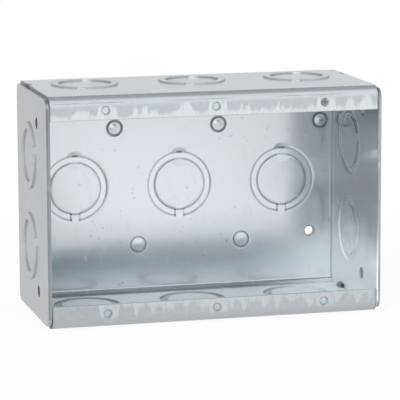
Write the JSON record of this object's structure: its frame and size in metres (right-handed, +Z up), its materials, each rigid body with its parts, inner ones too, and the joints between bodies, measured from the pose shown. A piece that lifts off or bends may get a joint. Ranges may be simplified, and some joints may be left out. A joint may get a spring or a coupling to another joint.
{
  "type": "three-gang electrical box",
  "caption": "Open-front wiring box in galvanised sheet steel, with a folded channel body, flat welded ends, device screw flanges and round concentric conduit knockouts.",
  "frame": {"origin": "middle of the footprint, level with the ring crests of the bottom knockouts that it stands on", "axes": "+X along the box, left to right seen from the open front; +Y from the open front to the back; +Z up"},
  "size_m": [0.1426, 0.064, 0.0965],
  "materials": {
    "galvanised_steel": "bright galvanised sheet, satin with fine scuffs",
    "weld_steel": "dull scorched weld metal"
  },
  "bodies": {
    "root": {"box_channel": "galvanised_steel", "left_end_plate": "galvanised_steel", "right_end_plate": "galvanised_steel", "corner_welds": "weld_steel"}
  },
  "joints": []
}
